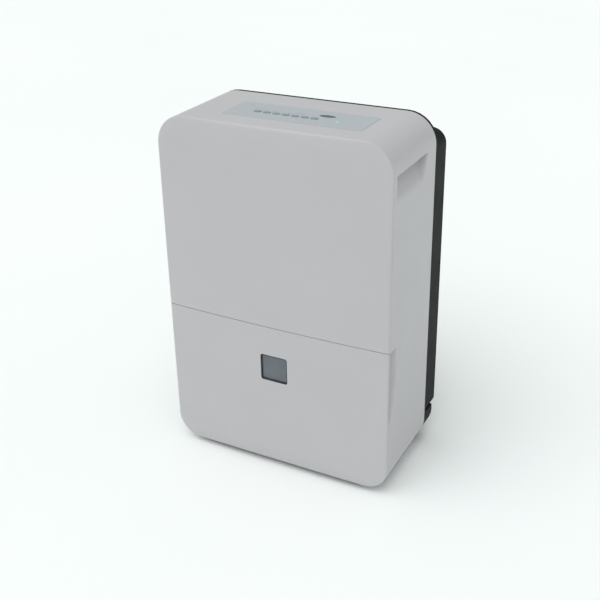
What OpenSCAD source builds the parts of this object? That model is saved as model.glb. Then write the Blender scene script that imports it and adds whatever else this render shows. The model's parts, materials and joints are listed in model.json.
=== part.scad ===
// Upright compressor dehumidifier: a white cabinet on four casters, with a pull-out water bucket.
// Millimetres. +Z is up, the front faces -Y, the origin is on the floor under the middle of the body.

/* [Cabinet] */
// Width of the cabinet
body_w = 390; // [380:1:400]
// Height of the cabinet, casters left out
body_h = 576; // [570:1:600]
// Depth from the front skin to the back of the rear cover
body_d = 222; // [220:1:226]
// Depth of the white part, from the front skin to its back edge
shell_d = 171; // [170:1:172]
// Radius of the cabinet's top corners, seen from the front
corner_r = 48; // [44:1:52]
// Radius of its bottom corners
foot_r = 40; // [36:1:48]
// Wall thickness of the moulded covers
wall = 2.5; // [2:0.1:3]
// Gap between the floor and the cabinet
lift = 10; // [9:1:10]
// Depth of the front mouldings, which close the cabinet's open front
front_depth = 8; // [8:0.5:9]
// Width of the soft edge round the front face
front_edge = 5; // [3:0.5:6]

/* [Bucket] */
// Height of the line between the front cover and the bucket, above the cabinet's bottom
seam_h = 254; // [254:1:262]
// Gap between neighbouring mouldings
gap = 0.8; // [0.8:0.1:1.6]
// Outside width of the water tub
tub_w = 330; // [320:1:334]
// Height of the tub's rim above the floor
tub_top = 218; // [216:1:220]
// Width of the water window
window_w = 48; // [40:1:50]
// Height of the water window
window_h = 47; // [40:1:50]
// Height of the window's middle above the cabinet's bottom
window_at = 180; // [178:1:190]
// Reach of the carrying handle from its pins
handle_reach = 44; // [40:1:44]

/* [Control panel] */
// Width of the control panel
panel_w = 230; // [226:1:234]
// Depth of the control panel
panel_d = 74; // [72:1:76]
// Distance from the cabinet's middle to the panel's middle
panel_x = 13; // [0:1:14]
// Number of push buttons
button_n = 7; // [7:1:7]
// Distance from button to button
button_pitch = 16; // [15.5:0.5:17]
// Width of a button's cap
button_w = 12; // [10:0.5:12]
// Depth of a button's cap
button_l = 8; // [7:0.5:9]
// Travel of a button
button_travel = 1; // [0.8:0.1:1]

/* [Hand grips] */
// Length of the recessed grip in each side
grip_l = 119; // [110:1:120]
// Height of its opening
grip_h = 45; // [40:1:46]

/* [Rear] */
// Height of the ledge above the rear cover's raised part
rear_drop = 36; // [34:1:40]
// Height of the base's exposed back
base_h = 51.5; // [50:0.5:52]
// Depth of the base, from the front skin
base_d = 206; // [204:1:208]
// Rows of intake slots
slot_rows = 22; // [16:1:26]
// Columns of intake slots
slot_cols = 4; // [3:1:5]

/* [Fan] */
// Outside radius of the blower wheel
wheel_r = 90; // [80:1:92]
// Number of blades
blade_n = 32; // [24:1:40]

/* [Casters] */
// Radius of a caster's wheel
caster_r = 13; // [13:0.5:13]
// Distance from the swivel axis to the wheel's axle
caster_trail = 8; // [6:0.5:8]

/* [Hidden] */
$fn = 48;
arc_steps = 8;

// Planes of the body
front_y = -body_d / 2;
back_y = body_d / 2;
split_y = front_y + front_depth;
shell_back_y = front_y + shell_d;
base_back_y = front_y + base_d;
bottom_z = lift;
top_z = lift + body_h;
seam_z = bottom_z + seam_h;
side_x = body_w / 2;
inner_x = side_x - wall;
fit = 0.3;            // gap round a part that drops into a hole
running = 0.08;       // radial clearance of a pin that turns
thin = 0.2;           // thickness of the slices that a hull joins

// Underside
floor_open_x = side_x - corner_r;
floor_open_y = front_y + 16;
pan_x = floor_open_x - fit;
pan_front_y = floor_open_y + fit;
base_z = bottom_z + 1;
base_wall = 3;
outlet_z = 36;        // height of the drain spout and the cord gland
drain_x = 20;
spout_r = 13;
spout_in_y = base_back_y - 9;
cord_x = 130;
cord_r = 3.8;
deck_z = 262;         // underside of the deck over the bucket
deck_t = 3;
bay_floor_z = 43.5;   // top of the floor that the bucket slides on
bay_floor_t = 3;
bulkhead_y = -3;      // front face of the wall behind the bucket
caster_x = 118;
caster_ys = [-64, 54];
well_r = 24;
well_top_z = 34;
stem_r = 3.5;
stem_top_z = 40;

// Control panel
panel_y = -29;
panel_flange = 3;
row_y = panel_y - 6;
row_x = panel_x - 70;
display_at = [panel_x + 39, panel_y + 12];
led_at = [panel_x + 64, panel_y - 8];
board_z = 569.5;
board_t = 1.6;
board_top_z = board_z + board_t;
switch_z = board_top_z + 3.8;  // top of a switch's body; its stem is 1 mm more

// Hand grips
grip_y = front_y + 78;
grip_top_z = top_z - corner_r + 2;
grip_bottom_z = grip_top_z - grip_h;

// Bucket
tub_wall = 2.5;
tub_front_y = split_y + 2;
tub_back_y = -6;
tub_floor_z = bay_floor_z + 0.5;
window_z = bottom_z + window_at;
pivot_y = -49;
pivot_z = tub_top - 10;
pin_r = 3;
float_pin_y = -17;
float_pin_z = 196;
float_x = 125;
scoop_top_z = seam_z;
scoop_bottom_z = bottom_z + 120;
scoop_l = 25;
scoop_depth = 8;

// Rear cover
flange_t = 5.8;
cover_y = shell_back_y + 0.2;
bulge_y = cover_y + flange_t;
bulge_w = body_w - 4;
bulge_top_z = top_z - rear_drop;
bulge_bottom_z = bottom_z + base_h + 0.5;
bulge_r = 24;
bulge_low_r = 3.5;
grille_x = 150;
grille_low_z = 92;
grille_high_z = 520;
filter_y = 96;
filter_t = 5;
filter_play = 0.6;
filter_x = 152;

// Air path
fan_x = 35;
fan_z = 408;
fan_y0 = -38;
fan_y1 = 4;
scroll_r = wheel_r + 8;
scroll_grow = 36;
scroll_steps = 30;
scroll_y0 = -45;
scroll_y1 = 10;
duct_top_z = 430;
coil_x = 135;
coil_low_z = 288;
coil_high_z = 540;
condenser_y = [44, 61];
evaporator_y = [66, 88];
tray_y = [40, 92];
tray_drain_y = 80;

// Compressor
comp_at = [-85, 45];
comp_r = 43;
comp_low_z = 60;
comp_high_z = 228;
accumulator_x = comp_at[0] + comp_r + 23;
foot_angles = [0, 135, 225];
foot_reach = 50;
foot_z = 40;

// ---------- Shapes ----------

function arc(c, r, a0, a1, n = arc_steps) =
    [for (i = [0:n]) let (a = a0 + (a1 - a0) * i / n) c + r * [cos(a), sin(a)]];

// A rounded rectangle, with another radius for its two low corners if low_r is given
module rounded(w, h, r, low_r = undef) {
    q = is_undef(low_r) ? r : low_r;
    polygon(concat(
        arc([w / 2 - r, h / 2 - r], r, 0, 90),
        arc([r - w / 2, h / 2 - r], r, 90, 180),
        arc([q - w / 2, q - h / 2], q, 180, 270),
        arc([w / 2 - q, q - h / 2], q, 270, 360)));
}

module box(low, high) translate(low) cube(high - low);

// Draws in X-Z and extrudes from y0 to y1
module along_y(y0, y1) translate([0, y1, 0]) rotate([90, 0, 0]) linear_extrude(y1 - y0) children();

// Draws in Y-Z and extrudes from x0 to x1
module along_x(x0, x1) translate([x0, 0, 0]) rotate([90, 0, 90]) linear_extrude(x1 - x0) children();

module along_z(z0, z1) translate([0, 0, z0]) linear_extrude(z1 - z0) children();

module rod_y(x, z, y0, y1, r) translate([x, y1, z]) rotate([90, 0, 0]) cylinder(h = y1 - y0, r = r);

module rod_x(y, z, x0, x1, r) translate([x0, y, z]) rotate([0, 90, 0]) cylinder(h = x1 - x0, r = r);

module both_sides() for (s = [0, 1]) mirror([s, 0, 0]) children();

// The cabinet's outline from the front, drawn in X-Z
module outline(inset = 0)
    translate([0, bottom_z + body_h / 2])
        rounded(body_w - 2 * inset, body_h - 2 * inset, corner_r - inset, foot_r - inset);

// A closed tube swept along points, with parallel rings
function unit(v) = v / norm(v);
function tangent(p, i) = unit(p[min(i + 1, len(p) - 1)] - p[max(i - 1, 0)]);
function ring(p, i, r, sides, away) =
    let (t = tangent(p, i), u = unit(cross(t, away)), v = cross(t, u))
    [for (k = [0:sides - 1]) p[i] + r * (cos(360 * k / sides) * u + sin(360 * k / sides) * v)];
// away is a direction that the path never runs along
module swept_tube(p, r, away = [0.2, 1, 0.1], sides = 8) {
    n = len(p);
    points = [for (i = [0:n - 1]) each ring(p, i, r, sides, away)];
    walls = [for (i = [0:n - 2]) for (k = [0:sides - 1])
        let (a = i * sides + k, b = i * sides + (k + 1) % sides) [a, b, b + sides, a + sides]];
    polyhedron(points, concat(walls, [[for (k = [sides - 1:-1:0]) k]],
        [[for (k = [0:sides - 1]) (n - 1) * sides + k]]));
}
// A smooth path through points
function spline_point(a, b, c, d, t) = 0.5 * (2 * b + (c - a) * t
    + (2 * a - 5 * b + 4 * c - d) * pow(t, 2) + (3 * b - a - 3 * c + d) * pow(t, 3));
function smooth(p, steps = 5) = concat(
    [for (i = [0:len(p) - 2]) for (k = [0:steps - 1])
        spline_point(p[max(i - 1, 0)], p[i], p[i + 1], p[min(i + 2, len(p) - 1)], k / steps)],
    [p[len(p) - 1]]);

// ---------- Cabinet ----------

// The outline of the finger scoop behind the bucket's edge, drawn in Y-Z
module scoop_outline(inset)
    polygon([[split_y - 1, scoop_top_z - inset], [split_y + scoop_l - inset, scoop_top_z - inset],
        [split_y + scoop_l - inset, scoop_bottom_z + 70], [split_y + 12 - inset, scoop_bottom_z + 20],
        [split_y - 1, scoop_bottom_z + 2 * inset]]);

// The white cover is one moulding. It is drawn in three pieces that meet level with the top of the
// hand grips and in the middle of the underside
module cabinet_wall() difference() {
    along_y(split_y, shell_back_y) difference() {
        outline();
        outline(wall);
    }
    translate([panel_x, panel_y]) along_z(top_z - wall - 1, top_z + 1) rounded(panel_w, panel_d, 6);
    both_sides() box([inner_x - 1, grip_y - grip_l / 2, grip_bottom_z],
        [side_x + 1, grip_y + grip_l / 2, grip_top_z]);
    both_sides() along_x(inner_x - 1, side_x + 1) scoop_outline(wall);
    box([-side_x - 1, scroll_y0 + 1, fan_z - scroll_r - scroll_grow + 5],
        [-inner_x + 1, scroll_y1 - 2, duct_top_z - 3]);
    box([-floor_open_x, floor_open_y, bottom_z - 1],
        [floor_open_x, shell_back_y + 1, bottom_z + wall + 1]);
}

module cabinet_top() color("white") {
    intersection() {
        cabinet_wall();
        box([-side_x, split_y, grip_top_z], [side_x, shell_back_y, top_z]);
    }
    for (x = [-150, -50, 50, 150]) screw_boss(x);
}

module cabinet_side(x0, x1) color("white") {
    intersection() {
        cabinet_wall();
        box([x0, split_y, bottom_z], [x1, shell_back_y, grip_top_z]);
    }
    mirror([x1 > 0 ? 0 : 1, 0, 0]) finger_scoop();
}

// The pocket that lets fingers reach behind the bucket's edge
module finger_scoop() difference() {
    intersection() {
        along_x(inner_x - scoop_depth - wall, inner_x) scoop_outline(0);
        box([0, split_y, 0], [side_x, 0, top_z]);
    }
    along_x(inner_x - scoop_depth, inner_x + 1) scoop_outline(wall);
}

module screw_boss(x) difference() {
    union() {
        rod_y(x, top_z - 18, shell_back_y - 18, shell_back_y, 5);
        box([x - 3, shell_back_y - 18, top_z - 18], [x + 3, shell_back_y, top_z - wall]);
    }
    rod_y(x, top_z - 18, shell_back_y - 19, shell_back_y + 1, 2.05);
}

// The front skin's solid: the outline with a soft edge all round
module front_block(inset) hull() {
    along_y(split_y - thin, split_y) outline(inset);
    along_y(front_y + front_edge + inset, front_y + front_edge + inset + thin) outline(inset);
    along_y(front_y + inset, front_y + inset + thin) outline(front_edge + inset);
}

module front_skin() difference() {
    front_block(0);
    difference() {
        translate([0, thin, 0]) front_block(wall);
        box([-side_x, front_y, seam_z - wall], [side_x, split_y + 1, seam_z + wall]);
    }
}

module front_cover() color("white") intersection() {
    front_skin();
    box([-side_x - 1, front_y - 1, seam_z + gap / 2], [side_x + 1, split_y + 1, top_z + 1]);
}

module base_pan() color("dimgray") difference() {
    union() {
        difference() {
            box([-pan_x, pan_front_y, base_z], [pan_x, cover_y, bay_floor_z - bay_floor_t]);
            box([-pan_x + base_wall, pan_front_y + base_wall, base_z + base_wall],
                [pan_x - base_wall, cover_y + 1, bay_floor_z]);
        }
        rear_tub();
        for (x = [-1, 1]) for (y = [0, 1]) at_caster(x, y) caster_well();
        at_feet() translate([0, 0, base_z + base_wall]) cylinder(h = foot_z - base_z - base_wall, r = 5);
    }
    for (x = [-1, 1]) for (y = [0, 1]) at_caster(x, y) {
        translate([0, 0, base_z - 2]) cylinder(h = well_top_z - base_z + 2, r = well_r);
        cylinder(h = stem_top_z + 1, r = stem_r + running);
    }
    rod_y(drain_x, outlet_z, base_back_y - 10, base_back_y + 1, 8.2);
    rod_y(cord_x, outlet_z, base_back_y - 10, base_back_y + 1, 7.2);
}

// The exposed back of the base
module rear_tub() difference() {
    intersection() {
        along_y(cover_y, base_back_y) outline();
        box([-side_x - 1, 0, 0], [side_x + 1, back_y, bottom_z + base_h]);
    }
    difference() {
        along_y(cover_y - 1, base_back_y - base_wall) outline(base_wall);
        box([-side_x, 0, 0], [side_x, back_y, base_z + base_wall]);
    }
}

module caster_well() {
    translate([0, 0, base_z]) cylinder(h = well_top_z + 2.5 - base_z, r = well_r + 2.5);
    translate([0, 0, well_top_z]) cylinder(h = stem_top_z - well_top_z, r = 7);
}

// ---------- Hand grips ----------

// The pocket's section in X-Z: fingers go in and up behind the lip
function grip_section(t) = [
    [inner_x + 0.01, grip_top_z + t], [inner_x - 6, grip_top_z + t], [inner_x - 13, grip_top_z + 12 + t],
    [inner_x - 27 - t, grip_top_z + 12 + t], [inner_x - 30 - t, grip_top_z + 6],
    [inner_x - 27 - t, grip_bottom_z + 18 - t], [inner_x + 0.01, grip_bottom_z - t]];

module grip_cup() color("white") difference() {
    along_y(grip_y - grip_l / 2 - wall, grip_y + grip_l / 2 + wall) polygon(grip_section(wall));
    along_y(grip_y - grip_l / 2, grip_y + grip_l / 2) polygon(concat(
        [[side_x, grip_bottom_z], [side_x, grip_top_z]], grip_section(0)));
}

module right_grip_cup() intersection() {
    grip_cup();
    along_y(front_y, back_y) outline(wall);
}

module left_grip_cup() mirror([1, 0, 0]) right_grip_cup();

// ---------- Rear ----------

module rear_outline(inset = 0)
    translate([0, (bulge_bottom_z + bulge_top_z) / 2])
        rounded(bulge_w - 2 * inset, bulge_top_z - bulge_bottom_z - 2 * inset,
            bulge_r - inset, bulge_low_r - inset);

module intake_slots() {
    pitch_z = (grille_high_z - grille_low_z) / slot_rows;
    pitch_x = 2 * grille_x / slot_cols;
    for (i = [0:slot_cols - 1]) for (k = [0:slot_rows - 1])
        translate([-grille_x + pitch_x * (i + 0.5), grille_low_z + pitch_z * (k + 0.5)])
            square([pitch_x - 9, pitch_z - 7], center = true);
}

module rear_cover() color("dimgray") {
    difference() {
        intersection() {
            along_y(cover_y, bulge_y) difference() {
                outline();
                rear_outline(wall);
            }
            box([-side_x - 1, 0, bulge_bottom_z], [side_x + 1, back_y, top_z + 1]);
        }
        for (x = [-150, -50, 50, 150]) rod_y(x, top_z - 18, cover_y - 1, bulge_y + 1, 2.3);
        over_base();
    }
    difference() {
        along_y(bulge_y, back_y - wall) difference() {
            rear_outline();
            rear_outline(wall);
        }
        filter_slot(bulge_top_z - wall - 1, bulge_top_z + 1);
        over_base();
    }
    along_y(back_y - wall, back_y) difference() {
        rear_outline();
        intake_slots();
    }
    // Guides that hold the filter against the grille
    both_sides() difference() {
        box([filter_x - 6, filter_y - 3, bulge_bottom_z + wall],
            [filter_x + 4, back_y - wall, bulge_top_z - wall]);
        filter_slot(filter_low_z - 0.5, bulge_top_z);
        box([filter_x - 7, filter_y, grille_low_z - 2], [grille_x + 1, back_y, grille_high_z + 2]);
    }
}

// The opening through which the base's back joins the cover's inside
module over_base()
    box([-150, cover_y - 1, bulge_bottom_z - 1], [90, base_back_y - base_wall, bulge_bottom_z + wall + 1]);

// The space that the filter slides in
module filter_slot(z0, z1)
    box([-filter_x - 1, filter_y - filter_play, z0], [filter_x + 1, filter_y + filter_t + filter_play, z1]);

module rear_screws() color("silver") for (x = [-150, -50, 50, 150]) {
    rod_y(x, top_z - 18, bulge_y, bulge_y + 2.4, 4);
    rod_y(x, top_z - 18, shell_back_y - 14, bulge_y, 2);
}

filter_low_z = bulge_bottom_z + 14.5;
filter_high_z = bulge_top_z - 6;

module filter_frame() color("dimgray") difference() {
    union() {
        box([-filter_x, filter_y, filter_low_z], [filter_x, filter_y + filter_t, filter_high_z]);
        box([-30, filter_y, filter_high_z], [30, filter_y + filter_t, bulge_top_z + 7]);
    }
    for (i = [0:2]) for (k = [0:3]) {
        cell_w = (2 * filter_x - 2 * 9 - 2 * 5) / 3;
        cell_h = (filter_high_z - filter_low_z - 2 * 9 - 3 * 5) / 4;
        translate([-filter_x + 9 + i * (cell_w + 5), filter_y - 1, filter_low_z + 9 + k * (cell_h + 5)])
            cube([cell_w, filter_t + 2, cell_h]);
    }
}

module filter_mesh() color("black")
    for (i = [0:2]) for (k = [0:3]) {
        cell_w = (2 * filter_x - 2 * 9 - 2 * 5) / 3;
        cell_h = (filter_high_z - filter_low_z - 2 * 9 - 3 * 5) / 4;
        translate([-filter_x + 9 + i * (cell_w + 5), filter_y + 2, filter_low_z + 9 + k * (cell_h + 5)])
            cube([cell_w, 1, cell_h]);
    }

// The threaded spout for a garden hose
module drain_spout() color("black") difference() {
    union() {
        rod_y(drain_x, outlet_z, spout_in_y, base_back_y, 8);
        rod_y(drain_x, outlet_z, base_back_y, base_back_y + 2, 17);
        rod_y(drain_x, outlet_z, base_back_y + 2, base_back_y + 15, spout_r);
    }
    rod_y(drain_x, outlet_z, spout_in_y - 1, base_back_y + 16, 6);
}

// The grommet that the power cord comes out of
module cord_gland() color("black") difference() {
    union() {
        rod_y(cord_x, outlet_z, base_back_y - base_wall - 3, base_back_y - base_wall, 9);
        rod_y(cord_x, outlet_z, base_back_y - base_wall, base_back_y, 7);
        rod_y(cord_x, outlet_z, base_back_y, base_back_y + 3, 11);
        rod_y(cord_x, outlet_z, base_back_y + 3, base_back_y + 12, 7);
    }
    rod_y(cord_x, outlet_z, base_back_y - 10, base_back_y + 16, cord_r);
}

module drain_hose() color("dimgray") swept_tube(smooth([
    [drain_x, tray_drain_y, deck_z - fit], [drain_x, tray_drain_y, 240],
    [drain_x + 4, tray_drain_y + 2, 150],
    [drain_x, 72, 70], [drain_x, 68, 46], [drain_x, 76, outlet_z], [drain_x, spout_in_y - fit, outlet_z]]),
    5, [1, 0, 0]);

// ---------- Control panel ----------

module button_hole(extra) rounded(button_w + extra, button_l + extra, (button_l + extra) / 2 - 0.01);

module at_button(i) translate([row_x + i * button_pitch, row_y]) children();

module at_indicator(i) translate([row_x + 1.5 * i * button_pitch, row_y + 10, 0]) children();

module oval(w, h) polygon([for (i = [0:31]) [w / 2 * cos(11.25 * i), h / 2 * sin(11.25 * i)]]);

module control_panel() color("lightsteelblue") difference() {
    union() {
        translate([panel_x, panel_y]) along_z(top_z - wall, top_z)
            rounded(panel_w - 2 * fit, panel_d - 2 * fit, 6);
        translate([panel_x, panel_y]) along_z(top_z - wall - 2, top_z - wall)
            rounded(panel_w + 2 * panel_flange, panel_d + 2 * panel_flange, 8);
    }
    for (i = [0:button_n - 1]) at_button(i) along_z(top_z - wall - 3, top_z + 1) button_hole(2 * fit);
    for (i = [0:3]) at_indicator(i) translate([0, 0, top_z - 10]) cylinder(h = 11, r = 1.3);
    translate(display_at) along_z(top_z - wall - 3, top_z + 1) oval(26.6, 11.6);
    translate([led_at[0], led_at[1], top_z - 10]) cylinder(h = 11, r = 3.1);
}

module display_window() color("black") {
    translate(display_at) along_z(top_z - wall - 2, top_z) oval(26, 11);
    translate(display_at) along_z(top_z - wall - 4, top_z - wall - 2) rounded(30, 16, 3);
}

module power_led() color("yellowgreen") {
    translate([led_at[0], led_at[1], top_z - 6]) cylinder(h = 6.2, r = 3);
    translate([led_at[0], led_at[1], board_top_z]) cylinder(h = top_z - 6 - board_top_z, r = 2);
}

module indicator_leds() color("honeydew")
    for (i = [0:3]) at_indicator(i)
        translate([0, 0, board_top_z]) cylinder(h = top_z - board_top_z, r = 1.2);

module control_board() color("darkgreen") {
    translate([panel_x, panel_y]) along_z(board_z, board_z + board_t) square([200, 60], center = true);
    for (i = [0:button_n - 1]) at_button(i) {
        along_z(board_top_z, switch_z) square([6, 6], center = true);
        translate([0, 0, switch_z]) cylinder(h = 1, r = 1.5);
    }
    translate([panel_x - 60, panel_y + 18]) along_z(board_z - 7, board_z) square([24, 16], center = true);
    translate([panel_x + 55, panel_y]) along_z(board_z - 11, board_z) square([30, 22], center = true);
    for (x = [-90, 90]) for (y = [-24, 24]) translate([panel_x + x, panel_y + y])
        along_z(board_top_z, top_z - wall - 2) square([6, 6], center = true);
}

module push_button(i) color("slategray") at_button(i) {
    along_z(top_z - wall - 3, top_z + 0.8) button_hole(0);
    along_z(top_z - wall - 4, top_z - wall - 3) rounded(button_w + 2, button_l + 2, 3);
    stem_z = switch_z + 1.1 + button_travel;
    translate([0, 0, stem_z]) cylinder(h = top_z - wall - 4 - stem_z, r = 1.5);
}

// ---------- Inside the cabinet ----------

module bucket_bay() color("dimgray") {
    box([-side_x + 10, split_y + 3, bay_floor_z - bay_floor_t], [side_x - 10, bulkhead_y, bay_floor_z]);
    box([-side_x + 10, bulkhead_y, bay_floor_z - bay_floor_t], [side_x - 10, bulkhead_y + 2.5, deck_z]);
    both_sides() box([tub_w / 2 + 1.5, split_y + 12, bay_floor_z],
        [tub_w / 2 + 4, bulkhead_y, bay_floor_z + 26]);
}

module mid_deck() color("dimgray") difference() {
    box([-inner_x + 0.2, split_y + 1, deck_z], [inner_x - 0.2, 38, deck_z + deck_t]);
    both_sides() box([inner_x - scoop_depth - wall - fit, split_y, deck_z - 1],
        [side_x, split_y + scoop_l + fit, deck_z + deck_t + 1]);
    translate([0, -25, deck_z - 1]) cylinder(h = deck_t + 2, r = 7.5);
}

module drip_tray() color("whitesmoke") difference() {
    union() {
        box([-coil_x - 16, tray_y[0], deck_z + deck_t + 1], [coil_x + 16, tray_y[1], coil_low_z - 1]);
        box([-14, -34, deck_z + deck_t], [14, tray_y[0] + 1, deck_z + deck_t + 8]);
        translate([0, -25, deck_z - 4]) cylinder(h = deck_t + 5, r = 7);
        translate([drain_x, tray_drain_y, deck_z]) cylinder(h = 6, r = 7);
    }
    box([-coil_x - 14, tray_y[0] + 2, deck_z + deck_t + 3], [coil_x + 14, tray_y[1] - 2, coil_low_z]);
    box([-12, -32, deck_z + deck_t + 2], [12, tray_y[0] + 3, deck_z + deck_t + 9]);
    translate([0, -25, deck_z - 5]) cylinder(h = 12, r = 5);
    translate([drain_x, tray_drain_y, deck_z - 1]) cylinder(h = 12, r = 5);
}

// A finned block: blades on both sides of a middle sheet, with two end plates
fin_pitch = 4.5;
module finned_block(y, z0, z1) {
    middle = (y[0] + y[1]) / 2;
    n = floor(2 * (coil_x - 2) / fin_pitch);
    left = [for (i = [0:n - 1]) let (x = -coil_x + 2 + fin_pitch * (i + 0.5))
        each [[x - 0.5, middle + 0.5], [x - 0.5, y[1]], [x + 0.5, y[1]], [x + 0.5, middle + 0.5]]];
    right = [for (i = [n - 1:-1:0]) let (x = -coil_x + 2 + fin_pitch * (i + 0.5))
        each [[x + 0.5, middle - 0.5], [x + 0.5, y[0]], [x - 0.5, y[0]], [x - 0.5, middle - 0.5]]];
    along_z(z0, z1) polygon(concat(
        [[-coil_x, middle - 0.5], [-coil_x, middle + 0.5]], left,
        [[coil_x, middle + 0.5], [coil_x, middle - 0.5]], right));
    both_sides() box([coil_x, y[0], z0], [coil_x + 1.5, y[1], z1]);
}

// Return bends that stand out of an end plate
module return_bends(y, z0, z1, n) {
    pitch = (z1 - z0) / n;
    middle = (y[0] + y[1]) / 2;
    both_sides() for (k = [0:n - 1])
        translate([coil_x + 1.5, middle, z0 + pitch * (k + 0.5)]) rotate([90, 0, 0]) rotate([0, 0, -90])
            rotate_extrude(angle = 180) translate([pitch / 4, 0]) circle(r = 3.5);
}

module evaporator() color("silver") {
    finned_block(evaporator_y, coil_low_z, coil_high_z);
    return_bends(evaporator_y, coil_low_z, coil_high_z, 6);
}

module condenser() color("silver") {
    finned_block(condenser_y, coil_low_z, coil_high_z);
    return_bends(condenser_y, coil_low_z, coil_high_z, 6);
}

module at_feet() translate(comp_at) for (a = foot_angles) rotate(a) translate([foot_reach, 0]) children();

module compressor() color("black") {
    translate([comp_at[0], comp_at[1], 0]) rotate_extrude() polygon(concat(
        [[0, comp_low_z]], arc([comp_r - 14, comp_low_z + 14], 14, 270, 360),
        arc([comp_r - 22, comp_high_z - 22], 22, 0, 90), [[0, comp_high_z]]));
    difference() {
        at_feet() box([-foot_reach + 30, -7, comp_low_z - 4], [6, 7, comp_low_z - 1]);
        at_feet() translate([0, 0, comp_low_z - 10]) cylinder(h = 12, r = 5.1);
    }
    translate([comp_at[0], comp_at[1], comp_low_z - 4]) cylinder(h = 5, r = 34);
    // Suction accumulator and its strap
    translate([accumulator_x, comp_at[1], 0]) rotate_extrude()
        polygon(concat([[0, 90]], arc([11, 101], 11, 270, 360, 5),
            arc([11, 189], 11, 0, 90, 5), [[0, 200]]));
    box([accumulator_x - 30, comp_at[1] - 1.5, 138], [accumulator_x - 10, comp_at[1] + 1.5, 154]);
}

module compressor_grommets() color("black") at_feet() {
    translate([0, 0, foot_z]) cylinder(h = comp_low_z - 4 - foot_z, r = 8);
    translate([0, 0, foot_z]) cylinder(h = comp_low_z - foot_z, r = 5);
    translate([0, 0, comp_low_z - 1]) cylinder(h = 4, r = 7);
}

pipe_end_x = coil_x + 1.5 + fit;
bend_pitch = (coil_high_z - coil_low_z) / 6;
condenser_mid_y = (condenser_y[0] + condenser_y[1]) / 2;
evaporator_mid_y = (evaporator_y[0] + evaporator_y[1]) / 2;

module discharge_pipe() color("peru") {
    y = condenser_mid_y;
    z = coil_low_z + 5 * bend_pitch;
    swept_tube(smooth([
        [comp_at[0], comp_at[1], comp_high_z + fit], [comp_at[0], comp_at[1], 242], [-92, 48, 252],
        [-120, 50, 254], [-158, y, 258], [-168, y, 275], [-168, y, 380], [-168, y, z - 12],
        [-162, y, z], [-pipe_end_x, y, z]]), 3.5);
}

module suction_pipe() color("peru") {
    y = evaporator_mid_y;
    z = coil_low_z + bend_pitch;
    swept_tube(smooth([
        [accumulator_x, comp_at[1], 200 + fit], [accumulator_x, comp_at[1], 236],
        [-6, 48, 250], [40, 56, 253], [130, 78, 253], [160, 80, 260],
        [167, y, 285], [167, y, z - 12], [160, y, z], [pipe_end_x, y, z]]), 4);
}

// The coiled restrictor between the two coils
coil_turns = 3;
coil_steps = 13;
module capillary_tube() color("peru") {
    z0 = coil_low_z + 2 * bend_pitch;
    z1 = coil_low_z + 4 * bend_pitch;
    rise = (z1 - z0 - 30) / (coil_turns * coil_steps);
    swept_tube(concat(
        [[pipe_end_x, condenser_mid_y, z0], [150, condenser_mid_y, z0], [159, 55, z0 + 6]],
        [for (i = [0:coil_turns * coil_steps]) let (a = 180 - 360 * i / coil_steps)
            [171 + 9 * cos(a), 62 + 9 * sin(a), z0 + 14 + rise * i]],
        [[160, 70, z1 - 6], [150, evaporator_mid_y, z1], [pipe_end_x, evaporator_mid_y, z1]]),
        1.2, [0, 0, 1], 6);
}

// ---------- Fan ----------

function scroll(extra) = [for (i = [0:scroll_steps]) let (t = i / scroll_steps, a = 225 - 315 * t,
    r = scroll_r + scroll_grow * t + extra) [fan_x, fan_z] + r * [cos(a), sin(a)]];
scroll_low_z = fan_z - scroll_r - scroll_grow;
tongue = [fan_x, fan_z] + scroll_r * [cos(225), sin(225)];

module fan_housing() color("gainsboro") difference() {
    along_y(scroll_y0, scroll_y1) polygon(concat(scroll(0),
        [[-inner_x + 0.5, scroll_low_z], [-inner_x + 0.5, duct_top_z]]));
    along_y(scroll_y0 + wall, scroll_y1 - wall) polygon(concat(scroll(-wall),
        [[-side_x, scroll_low_z + wall], [-side_x, duct_top_z - wall],
            [tongue[0] + wall, tongue[1] - wall]]));
    rod_y(fan_x, fan_z, scroll_y1 - wall - 1, scroll_y1 + 1, wheel_r - 18);
    rod_y(fan_x, fan_z, scroll_y0 - 1, scroll_y0 + wall + 1, 14);
}

module fan_motor() color("gray") difference() {
    union() {
        rod_y(fan_x, fan_z, -94, scroll_y0 - 3, 40);
        rod_y(fan_x, fan_z, scroll_y0 - 3, scroll_y0, 52);
        rod_y(fan_x, fan_z, scroll_y0, scroll_y0 + 3, 12);
    }
    rod_y(fan_x, fan_z, -70, scroll_y0 + 4, 4 + running);
}

module fan_shaft() color("silver") rod_y(fan_x, fan_z, -66, -8, 4);

module fan_wheel() color("whitesmoke") {
    difference() {
        union() {
            rod_y(fan_x, fan_z, fan_y0, fan_y0 + 2, wheel_r);
            rod_y(fan_x, fan_z, fan_y0 + 2, -10, 12);
        }
        rod_y(fan_x, fan_z, fan_y0 - 1, -9, 4);
    }
    along_y(fan_y0 + 2, fan_y1 - 3) for (i = [0:blade_n - 1])
        translate([fan_x, fan_z]) rotate(i * 360 / blade_n) translate([wheel_r - 13, 0]) rotate(35)
            square([15, 1.2]);
    ring_y(fan_y1 - 3, fan_y1, wheel_r, wheel_r - 14);
}

module ring_y(y0, y1, outer, inner) difference() {
    rod_y(fan_x, fan_z, y0, y1, outer);
    rod_y(fan_x, fan_z, y0 - 1, y1 + 1, inner);
}

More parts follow.
